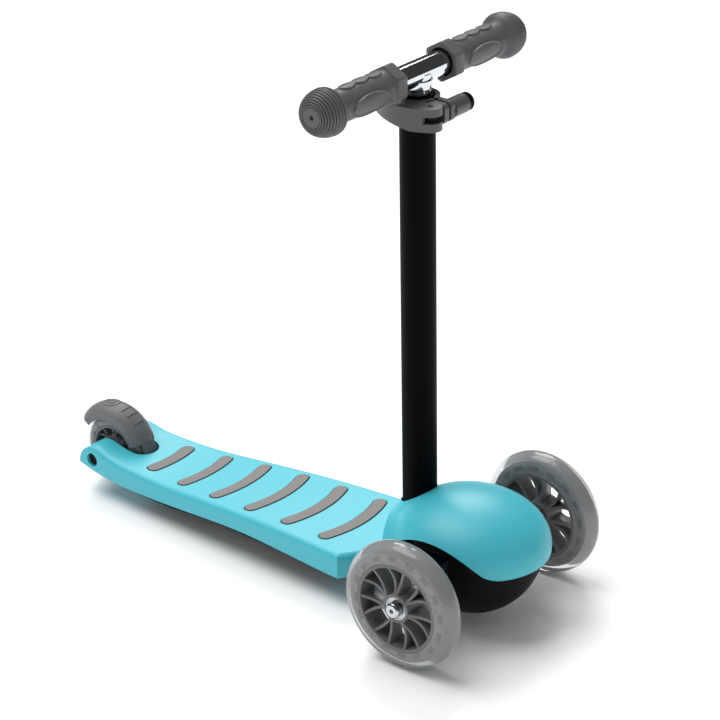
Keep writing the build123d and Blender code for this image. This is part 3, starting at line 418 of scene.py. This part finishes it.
def dress(node, material, width=None):
    """Round a CAD solid's edges, by a width in millimetres, on a merged copy of its mesh."""
    bm = merged(node)
    bmesh.ops.dissolve_limit(bm, angle_limit=math.radians(0.4), verts=bm.verts, edges=bm.edges)
    round_edges(bm, sizes().edge_round if width is None else width * MM)
    piece = new_piece(f"{node}_finish", bm, material, node)
    piece.modifiers.new("flat_faces", "WEIGHTED_NORMAL").keep_sharp = True
    return piece


def centre(node):
    low, high = (Vector(corner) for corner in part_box(node))
    return (low + high) / 2, high - low


def lathe(points, steps, closed=True):
    """Spin an outline of (along X, radius) pairs about the X axis."""
    bm = bmesh.new()
    ring = [bm.verts.new((x, 0.0, r)) for x, r in points]
    pairs = list(zip(ring, ring[1:]))
    if closed:
        pairs.append((ring[-1], ring[0]))
    edges = [bm.edges.new(pair) for pair in pairs]
    bmesh.ops.spin(bm, geom=ring + edges, cent=(0, 0, 0), axis=(1, 0, 0), angle=math.tau, steps=steps,
                   use_merge=True)
    tidy(bm)
    return bm


def join(target, source):
    """Add one bmesh to another."""
    mesh = bpy.data.meshes.new("joined")
    source.to_mesh(mesh)
    source.free()
    target.from_mesh(mesh)
    bpy.data.meshes.remove(mesh)


def move(bm, place):
    bmesh.ops.translate(bm, verts=bm.verts, vec=place)


def smooth_step(value, low, high):
    t = min(1.0, max(0.0, (value - low) / (high - low)))
    return t * t * (3 - 2 * t)


# Pieces

def tyre(wheel, rim):
    """Clear tyre: a half-round crown on short flanks, closed on the core's rim."""
    place, size = centre(f"{wheel}_tyre")
    half, radius = size.x / 2, size.z / 2
    shoulder = radius - half * TYRE_CROWN
    angles = [math.pi * i / 28 for i in range(29)]
    crown = [(half * math.cos(a), shoulder + (radius - shoulder) * math.sin(a)) for a in angles]
    bm = lathe([(half * TYRE_FLANK, rim)] + crown + [(-half * TYRE_FLANK, rim)], 128)
    move(bm, place)
    return new_piece(f"{wheel}_clear_tyre", bm, clear_urethane(), f"{wheel}_tyre")


def spoke(start, end, hub, rim):
    """One dished spoke from the hub to the rim; start and end are angles round the wheel."""
    bm = bmesh.new()
    bmesh.ops.create_cube(bm, size=1.0)
    upright = [edge for edge in bm.edges if abs(edge.verts[0].co.z - edge.verts[1].co.z) > 0.5]
    bmesh.ops.subdivide_edges(bm, edges=upright, cuts=11, use_grid_fill=True)
    for vert in bm.verts:
        along = vert.co.z + 0.5
        radius = hub + (rim - hub) * along
        side = vert.co.y * sizes().spoke_thickness
        angle = start + (end - start) * along
        x = vert.co.x * (sizes().spoke_depth - 2 * sizes().spoke_dish * math.sin(math.pi * along))
        vert.co = (x, radius * math.sin(angle) + side * math.cos(angle),
                   radius * math.cos(angle) - side * math.sin(angle))
    tidy(bm, 0.0005)
    round_edges(bm, SOFT * MM, 50)
    return bm


def flange(inner, outer, width):
    """Ring inside the tyre with windows that the urethane flows through."""
    wall = (outer - inner) * FLANGE_EDGE
    steps = sizes().windows * 6
    bm = lathe([(0.0, inner), (0.0, inner + wall), (0.0, outer - wall), (0.0, outer)], steps, closed=False)
    gone = []
    for face in bm.faces:
        middle = face.calc_center_median()
        radius = math.hypot(middle.y, middle.z)
        turn = math.atan2(middle.y, middle.z) / math.tau * sizes().windows % 1.0
        if inner + wall < radius < outer - wall and turn < WINDOW_SHARE:
            gone.append(face)
    bmesh.ops.delete(bm, geom=gone, context="FACES")
    bmesh.ops.solidify(bm, geom=bm.faces[:], thickness=width)
    low = min(v.co.x for v in bm.verts)
    move(bm, (-low - width / 2, 0, 0))
    tidy(bm)
    return bm


def wheel_core(wheel, rim, flange_radius):
    """Nylon core: rim, windowed flange, hub and thin bowed spokes in pairs; a black ring in the flange's
    windows is painted shade that keeps them dark.
    """
    place, size = centre(f"{wheel}_core")
    half = size.x / 2
    lip = RIM_LIP * MM
    inner = rim - RIM_WALL * MM
    bm = lathe([(-half, inner), (-half, rim - lip), (lip - half, rim), (half - lip, rim), (half, rim - lip),
                (half, inner), (half - lip, inner - lip), (lip - half, inner - lip)], 128)
    join(bm, flange(rim - lip, flange_radius, FLANGE_WIDTH * MM))
    hub, face, bore, stop, ledge = (value * MM for value in (HUB_R, HUB_HALF, SEAT_R, STOP_R, STOP_HALF))
    join(bm, lathe([(-face, bore), (-face, hub - lip), (lip - face, hub), (face - lip, hub), (face, hub - lip),
                    (face, bore), (ledge, bore), (ledge, stop), (-ledge, stop), (-ledge, bore)], 64))
    pairs = sizes().spokes
    for pair in range(pairs):
        root = math.tau * pair / pairs
        for side in (-1, 1):
            start, end = (root + side * angle for angle in SPOKE_ANGLES)
            join(bm, spoke(start, end, hub - lip, inner))
    move(bm, place)
    # Black ring filling the middle of the windows: painted shade where the windows are dark.
    wall = (flange_radius - rim) * SHADE_WEB_EDGE
    fill = SHADE_WEB_HALF * MM
    shade_web = lathe([(-fill, rim + wall), (fill, rim + wall), (fill, flange_radius - wall),
                 (-fill, flange_radius - wall)], 96)
    move(shade_web, place)
    new_piece(f"{wheel}_window_shade_web", shade_web, black_polypropylene(), f"{wheel}_core")
    return new_piece(f"{wheel}_moulded_core", bm, core_nylon(), f"{wheel}_core")


def wheel_bearings(wheel):
    """Two ball bearings: ground races with a dished shield between them."""
    place, size = centre(f"{wheel}_bearings")
    half, edge, outer = BEARING_HALF * MM, BEARING_EDGE * MM, size.z / 2
    bore, lead, inner_race, outer_race, inner_shield, outer_shield = (
        radius * MM for radius in (BEARING_BORE, BEARING_LEAD, *RACE_R, *SHIELD_R))
    flank = [(half - edge, outer), (half, outer - edge), (half, outer_race), (half - 2 * edge, outer_shield),
             (half - 2 * edge, inner_shield), (half, inner_race), (half, lead), (half - edge, bore)]
    bm = bmesh.new()
    for side in (-1, 1):
        ring = lathe(flank + [(-x, radius) for x, radius in reversed(flank)], 64)
        move(ring, (side * (size.x / 2 - half), 0, 0))
        join(bm, ring)
    move(bm, place)
    return new_piece(f"{wheel}_ground_bearings", bm, bearing_steel(), f"{wheel}_bearings")


def pipe(node, material, wall):
    """Straight tube along the longest side of its node's box, with softly broken ends."""
    place, size = centre(node)
    half, radius = max(size) / 2, min(size) / 2
    soft = CRISP * MM
    bm = lathe([(-half, radius - wall), (-half, radius - soft), (soft - half, radius), (half - soft, radius),
                (half, radius - soft), (half, radius - wall)], 96)
    if size.z > size.x:
        bmesh.ops.rotate(bm, cent=(0, 0, 0), matrix=Matrix.Rotation(math.pi / 2, 3, "Y"), verts=bm.verts)
    move(bm, place)
    return new_piece(f"{node}_tube", bm, material, node)


def hexagon(angle, flat):
    """Distance from the middle of a hexagon with soft corners, one of them up."""
    sides = [max(0.0, math.cos(angle - math.radians(30 + 60 * i))) for i in range(6)]
    return flat / sum(c ** HEX_POWER for c in sides) ** (1 / HEX_POWER)


def oval(along, across, half_length, half_width):
    """From 1 in the middle of an oval to 0 on its edge, and less outside."""
    return 1.0 - (along / half_length) ** 2 - (across / half_width) ** 2


def grip_outline(reach):
    """Grip from the axis inside its end wall, out along the bore, and back over the outside."""
    points = [(reach - GRIP_WALL, 0), (reach - GRIP_WALL, GRIP_FLANGE[0][1])] + GRIP_FLANGE
    first, waist, belly, steps = GRIP_WAIST
    points += [(first + i / 2, waist + belly * math.sin(i / steps * math.pi)) for i in range(steps + 1)]
    points += GRIP_SHOULDER
    start, core, dome = GRIP_END
    count = sizes().ridges
    for step in range(count * 6 + 1):
        turn = step / (count * 6) * math.pi / 2
        dip = sizes().ridge_height / MM * (1 - abs(math.sin(math.pi * step / 6)) ** 0.5)
        points.append((start + (reach - start - dip) * math.sin(turn), core + (dome - dip) * math.cos(turn)))
    points += [(reach - back, radius) for back, radius in GRIP_CAP]
    return [(u * MM, r * MM) for u, r in points]


def grip(node):
    """Rubber grip: hexagonal flange, finger bumps on top, a palm oval in front and a ridged round end."""
    place, size = centre(node)
    bm = lathe(grip_outline(size.x / MM), 200, closed=False)
    for vert in bm.verts:
        u, radius = vert.co.x / MM, math.hypot(vert.co.y, vert.co.z) / MM
        angle = math.atan2(vert.co.y, vert.co.z)
        lift = 0.0
        if u < 13.4 and radius > 16.0:
            lift = (hexagon(angle, HEX_FLAT) - HEX_ROUND) * min(1.0, (radius - 13) / 5)
        elif 15 < u < 79 and radius > 13.0:
            across = radius * angle
            bumps = max(oval(u - middle, across, *GRIP_BUMP) for middle in GRIP_BUMPS)
            lift = sizes().bump_height / MM * smooth_step(bumps, 0.0, 0.18)
            low = radius * ((angle + math.radians(GRIP_PALM_ANGLE) + math.pi) % math.tau - math.pi)
            middle, half_length, half_width = GRIP_PALM
            palm = oval(u - middle, low, half_length, half_width)
            lift += GRIP_PALM_RIDGE * smooth_step(palm, 0.0, 0.1)
            lift -= GRIP_PALM_HOLLOW * smooth_step(palm, 0.14, 0.26)
        if lift:
            vert.co.y *= 1 + lift / radius
            vert.co.z *= 1 + lift / radius
    if place.x < 0:
        bmesh.ops.scale(bm, vec=(-1, 1, 1), verts=bm.verts)
    inner_end = place.x - math.copysign(size.x / 2, place.x)
    move(bm, (inner_end, place.y, place.z))
    tidy(bm)
    return new_piece(f"{node}_moulding", bm, grip_rubber(), node, 50.0)


def cover_depth(point):
    """How deep a point lies in the cover's dome or in the lobe that holds the column, in millimetres."""
    depths = []
    for (x, y, z), half_axes in (COVER_DOME, COVER_LOBE):
        middle = (x, FRONT_AXLE_Y / MM + y, z)
        depths.append(1.0 - Vector([(p - c) / r for p, c, r in zip(point, middle, half_axes)]).length)
    return depths


def blended_depth(point, floor):
    """The same with the crease between the two filled by a soft hollow that fades out at the cover's rim."""
    a, b = cover_depth(point)
    soft = COVER_SOFT * smooth_step(point.z, floor + 1, floor + 12)
    if soft == 0.0:
        return max(a, b)
    overlap = max(0.0, soft - abs(a - b)) / soft
    return max(a, b) + overlap * overlap * soft * 0.25


def front_cover():
    """Front cover with a soft hollow where its dome meets the column's lobe."""
    bm = merged("front_cover")
    bmesh.ops.triangulate(bm, faces=bm.faces)
    for limit in COVER_MESH:
        long_edges = [edge for edge in bm.edges if edge.calc_length() > limit * MM]
        bmesh.ops.subdivide_edges(bm, edges=long_edges, cuts=1, use_grid_fill=False)
        bmesh.ops.triangulate(bm, faces=bm.faces)
    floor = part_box("front_cover")[0][2] / MM
    eye = Vector(COVER_EYE) + Vector((0.0, FRONT_AXLE_Y / MM, 0.0))
    for vert in bm.verts:
        point = vert.co / MM
        if abs(max(cover_depth(point))) > COVER_SKIN:
            continue
        reach = 1.0
        for _ in range(30):
            depth = blended_depth(eye + (point - eye) * reach, floor)
            if depth < 0.0005:
                break
            reach += depth * 0.6
        vert.co = (eye + (point - eye) * reach) * MM
    tidy(bm, 0.002)
    return new_piece("front_cover_finish", bm, turquoise_polypropylene(), "front_cover")


def pad_gap_shade(node):
    """Black ring in the gap between a pad and the deck: painted shade that darkens the gap."""
    bm = merged(node)
    bmesh.ops.recalc_face_normals(bm, faces=bm.faces)
    bm.normal_update()
    for vert in bm.verts:
        side = Vector((vert.normal.x, vert.normal.y, 0.0))
        if side.length > 0.2:
            vert.co += side.normalized() * sizes().gap_shade
    move(bm, (0, 0, -GAP_SHADE_DROP * MM))
    return new_piece(f"{node}_seal", bm, bumper_rubber(), node)


def wrap_fender(bm, turn):
    """Lay a flat relief on the foot brake's crown: X runs across it, Y along it, at an angle about its axis."""
    axis_y, axis_z, crest, crown = (value * MM for value in (*FENDER_AXIS, FENDER_CREST, FENDER_CROWN))
    for vert in bm.verts:
        across, along = vert.co.x / crown, turn + vert.co.y / crest
        radius = crest - crown + (crown + vert.co.z) * math.cos(across)
        vert.co = ((crown + vert.co.z) * math.sin(across), FRONT_AXLE_Y + axis_y + radius * math.cos(along),
                   axis_z + radius * math.sin(along))


def fender_relief():
    """Raised ovals on the crest of the foot brake and three bars in front of them."""
    height = sizes().relief
    bm = bmesh.new()
    for half in RELIEF_OVALS:
        ring = bmesh.new()
        place = Matrix.Translation((half * MM, 0, 0)) @ Matrix.Rotation(math.pi / 2, 4, "X")
        bmesh.ops.create_circle(ring, segments=12, radius=height, matrix=place)
        bmesh.ops.spin(ring, geom=ring.verts[:] + ring.edges[:], cent=(0, 0, 0), axis=(0, 0, 1), angle=math.tau,
                       steps=48, use_merge=True)
        bmesh.ops.scale(ring, vec=(1.1, 1.4, 1), verts=ring.verts)
        wrap_fender(ring, math.radians(RELIEF_OVAL_ANGLE))
        join(bm, ring)
    bar_length, bar_width = RELIEF_BAR
    for degrees in RELIEF_BAR_ANGLES:
        bar = bmesh.new()
        bmesh.ops.create_cube(bar, size=1.0)
        bmesh.ops.scale(bar, vec=(bar_length * MM, bar_width * MM, 2 * height), verts=bar.verts)
        across = [edge for edge in bar.edges if abs(edge.verts[0].co.x - edge.verts[1].co.x) > MM]
        bmesh.ops.subdivide_edges(bar, edges=across, cuts=10, use_grid_fill=True)
        round_edges(bar, SOFT * MM, 50)
        wrap_fender(bar, math.radians(degrees))
        join(bm, bar)
    tidy(bm, 0.001)
    return new_piece("brake_fender_relief", bm, fender_nylon(), "brake_fender")


# Operators

class SCOOTER_OT_deck(bpy.types.Operator):
    """Dress the deck shell, its undertray and their screws"""
    bl_idname = "scooter.deck"
    bl_label = "Deck"

    def execute(self, context):
        dress("deck_shell", turquoise_polypropylene(), BOLD)
        dress("deck_undertray", black_polypropylene())
        dress("undertray_screws", zinc_steel(), FINE)
        dress("tongue_screws", zinc_steel(), FINE)
        return {"FINISHED"}


class SCOOTER_OT_pads(bpy.types.Operator):
    """Dress the six rubber pads of the deck"""
    bl_idname = "scooter.pads"
    bl_label = "Deck pads"

    def execute(self, context):
        for number in range(1, 7):
            dress(f"grip_pad_{number}", pad_rubber(), SOFT)
            # Black ring round the pad: painted shade in its gap.
            pad_gap_shade(f"grip_pad_{number}")
        return {"FINISHED"}


class SCOOTER_OT_housing(bpy.types.Operator):
    """Dress the front cover and the housing under it"""
    bl_idname = "scooter.housing"
    bl_label = "Front housing"

    def execute(self, context):
        front_cover()
        dress("front_housing_base", black_polypropylene(), FULL)
        dress("cover_screws", zinc_steel(), FINE)
        return {"FINISHED"}


class SCOOTER_OT_lean_axle(bpy.types.Operator):
    """Dress the leaning axle and its steering linkage"""
    bl_idname = "scooter.lean_axle"
    bl_label = "Lean axle"

    def execute(self, context):
        for node in ("axle_beam", "tie_rod", "right_knuckle", "left_knuckle"):
            dress(node, cast_aluminium())
        for node in ("left_lean_bumper", "right_lean_bumper"):
            dress(node, bumper_rubber())
        for node in ("lean_pin", "kingpins", "right_axle_bolt", "left_axle_bolt"):
            dress(node, zinc_steel(), EASED)
        dress("lean_bushes", black_polypropylene(), FINE)
        return {"FINISHED"}


class SCOOTER_OT_wheels(bpy.types.Operator):
    """Make the three wheels with their tyres, cores and bearings"""
    bl_idname = "scooter.wheels"
    bl_label = "Wheels"

    def execute(self, context):
        for wheel, rim, flange_radius in WHEELS:
            tyre(wheel, (rim + TYRE_PLAY) * MM)
            wheel_core(wheel, rim * MM, flange_radius * MM)
            wheel_bearings(wheel)
            dress(f"{wheel}_bearing_spacer", zinc_steel(), FINE)
        # The rear axle's bolt and nut are near-black: painted shade for the dark axle holes.
        dress("rear_axle_bolt", shade_dark_steel(), EASED)
        dress("rear_axle_nut", shade_dark_steel(), EASED)
        dress("rear_axle_spacers", zinc_steel(), CRISP)
        return {"FINISHED"}


class SCOOTER_OT_column(bpy.types.Operator):
    """Dress the column, its bush and its fixing bolt"""
    bl_idname = "scooter.column"
    bl_label = "Column"

    def execute(self, context):
        dress("column_tube", powder_coat(), EASED)
        dress("column_bush", black_polypropylene(), CRISP)
        dress("column_bolt", zinc_steel(), CRISP)
        return {"FINISHED"}


class SCOOTER_OT_handlebar(bpy.types.Operator):
    """Dress the sliding stem and the cross tube"""
    bl_idname = "scooter.handlebar"
    bl_label = "Handlebar"

    def execute(self, context):
        dress("stem_tube", chrome_plate(), CRISP)
        pipe("cross_tube", chrome_plate(), CROSS_TUBE_WALL * MM)
        dress("stem_weld", chrome_plate(), SOFT)
        dress("stem_plug", black_polypropylene(), CRISP)
        return {"FINISHED"}


class SCOOTER_OT_grips(bpy.types.Operator):
    """Make the two rubber grips"""
    bl_idname = "scooter.grips"
    bl_label = "Grips"

    def execute(self, context):
        grip("left_grip")
        grip("right_grip")
        return {"FINISHED"}


class SCOOTER_OT_clamp(bpy.types.Operator):
    """Dress the quick clamp with its lever, nut and cap"""
    bl_idname = "scooter.clamp"
    bl_label = "Clamp"

    def execute(self, context):
        dress("clamp_collar", clamp_nylon())
        dress("clamp_lever", clamp_nylon())
        dress("clamp_nut", clamp_nylon(), EASED)
        dress("clamp_nut_cap", black_polypropylene(), EASED)
        # The clamp bolt and lever pin are near-black: painted shade for the dark slit and pin hole.
        dress("clamp_bolt", shade_dark_steel(), CRISP)
        dress("lever_pin", shade_dark_steel(), CRISP)
        return {"FINISHED"}


class SCOOTER_OT_brake(bpy.types.Operator):
    """Dress the foot brake with its pin and spring"""
    bl_idname = "scooter.brake"
    bl_label = "Foot brake"

    def execute(self, context):
        dress("brake_fender", fender_nylon(), FULL)
        fender_relief()
        dress("brake_pin", zinc_steel(), CRISP)
        dress("brake_spring", zinc_steel(), HAIRLINE)
        return {"FINISHED"}


class SCOOTER_OT_stage(bpy.types.Operator):
    """Set the floor, the lamps, the world and the camera of the photograph"""
    bl_idname = "scooter.stage"
    bl_label = "Stage"

    def execute(self, context):
        scene = context.scene
        bm = bmesh.new()
        bmesh.ops.create_grid(bm, x_segments=1, y_segments=1, size=FLOOR_HALF)
        mesh = bpy.data.meshes.new("studio_floor")
        bm.to_mesh(mesh)
        bm.free()
        mesh.materials.append(studio_floor())
        floor = bpy.data.objects.new("studio_floor", mesh)
        scene.collection.objects.link(floor)
        studio_world(scene)
        for lamp in LAMPS:
            sun(*lamp)
        photo_camera(scene)
        scene.view_settings.view_transform = "Standard"
        return {"FINISHED"}


def studio_floor():
    """Matt white paint on a board."""
    material, tree = start_material("matt_white_board")
    if tree is None:
        return material
    place = add(tree, "ShaderNodeTexCoord").outputs["Object"]
    tooth = add(tree, "ShaderNodeTexNoise", {"Vector": place, "Scale": per_mm(12), "Detail": 2.0})
    gloss = add(tree, "ShaderNodeMapRange", {"Value": tooth.outputs["Fac"], "To Min": 0.85, "To Max": 0.95})
    shader = add(tree, "ShaderNodeBsdfPrincipled", {"Base Color": shade(colours().floor, 0.97),
                                                    "Roughness": gloss.outputs["Result"],
                                                    "Specular IOR Level": 0.1})
    close_material(tree, shader)
    return material


def studio_world(scene):
    """Grey surround, dark in reflections; the lit floor is the white that the camera sees."""
    world = bpy.data.worlds.new("studio_surround")
    world.use_nodes = True
    tree = world.node_tree
    tree.nodes.clear()
    path = add(tree, "ShaderNodeLightPath")
    seen, reflected = SURROUND
    strength = add(tree, "ShaderNodeMapRange", {"Value": path.outputs["Is Glossy Ray"], "To Min": seen,
                                                "To Max": reflected})
    light = add(tree, "ShaderNodeBackground", {"Color": (1, 1, 1, 1), "Strength": strength.outputs["Result"]})
    add(tree, "ShaderNodeOutputWorld", {"Surface": light.outputs[0]})
    scene.world = world


def sun(name, place, strength, spread):
    """Soft lamp so far off that only its direction counts."""
    light = bpy.data.lights.new(name, "SUN")
    light.energy = strength
    light.angle = math.radians(spread)
    holder = bpy.data.objects.new(name, light)
    holder.rotation_euler = Vector(place).to_track_quat("Z", "Y").to_euler()
    bpy.context.scene.collection.objects.link(holder)


def photo_camera(scene):
    """Camera of the photograph, from its azimuth, elevation and roll about the target."""
    azimuth, elevation, roll = (math.radians(a) for a in (CAMERA_AZIMUTH, CAMERA_ELEVATION, CAMERA_ROLL))
    back = Vector((math.sin(azimuth) * math.cos(elevation), -math.cos(azimuth) * math.cos(elevation),
                   math.sin(elevation)))
    level = Vector((math.cos(azimuth), math.sin(azimuth), 0.0))
    upright = back.cross(level)
    right = level * math.cos(roll) + upright * math.sin(roll)
    up = upright * math.cos(roll) - level * math.sin(roll)
    lens = bpy.data.cameras.new("photo_camera")
    lens.lens = CAMERA_LENS
    lens.sensor_width = 36.0
    lens.shift_x, lens.shift_y = CAMERA_SHIFT
    lens.clip_end = 50.0
    camera = bpy.data.objects.new("photo_camera", lens)
    turn = Matrix((right, up, back)).transposed().to_4x4()
    camera.matrix_world = Matrix.Translation(Vector(CAMERA_TARGET) + back * CAMERA_DISTANCE) @ turn
    scene.collection.objects.link(camera)
    scene.camera = camera


class SCOOTER_PT_panel(bpy.types.Panel):
    """Sidebar panel that lists the pieces"""
    bl_idname = "SCOOTER_PT_panel"
    bl_label = "Kick scooter"
    bl_space_type = "VIEW_3D"
    bl_region_type = "UI"
    bl_category = "Scooter"

    def draw(self, context):
        for group in (context.scene.scooter_sizes, context.scene.scooter_colours):
            box = self.layout.box()
            for name in group.__annotations__:
                box.prop(group, name)
        for operator in OPERATORS:
            self.layout.operator(operator.bl_idname)


OPERATORS = (SCOOTER_OT_deck, SCOOTER_OT_pads, SCOOTER_OT_housing, SCOOTER_OT_lean_axle, SCOOTER_OT_wheels,
             SCOOTER_OT_column, SCOOTER_OT_handlebar, SCOOTER_OT_grips, SCOOTER_OT_clamp, SCOOTER_OT_brake,
             SCOOTER_OT_stage)
CLASSES = (ScooterColours, ScooterSizes) + OPERATORS + (SCOOTER_PT_panel,)


def register():
    for cls in CLASSES:
        bpy.utils.register_class(cls)
    bpy.types.Scene.scooter_colours = PointerProperty(type=ScooterColours)
    bpy.types.Scene.scooter_sizes = PointerProperty(type=ScooterSizes)


def unregister():
    del bpy.types.Scene.scooter_sizes
    del bpy.types.Scene.scooter_colours
    for cls in reversed(CLASSES):
        bpy.utils.unregister_class(cls)


def main():
    register()
    for operator in OPERATORS:
        group, name = operator.bl_idname.split(".")
        getattr(getattr(bpy.ops, group), name)()


if __name__ == "__main__":
    main()
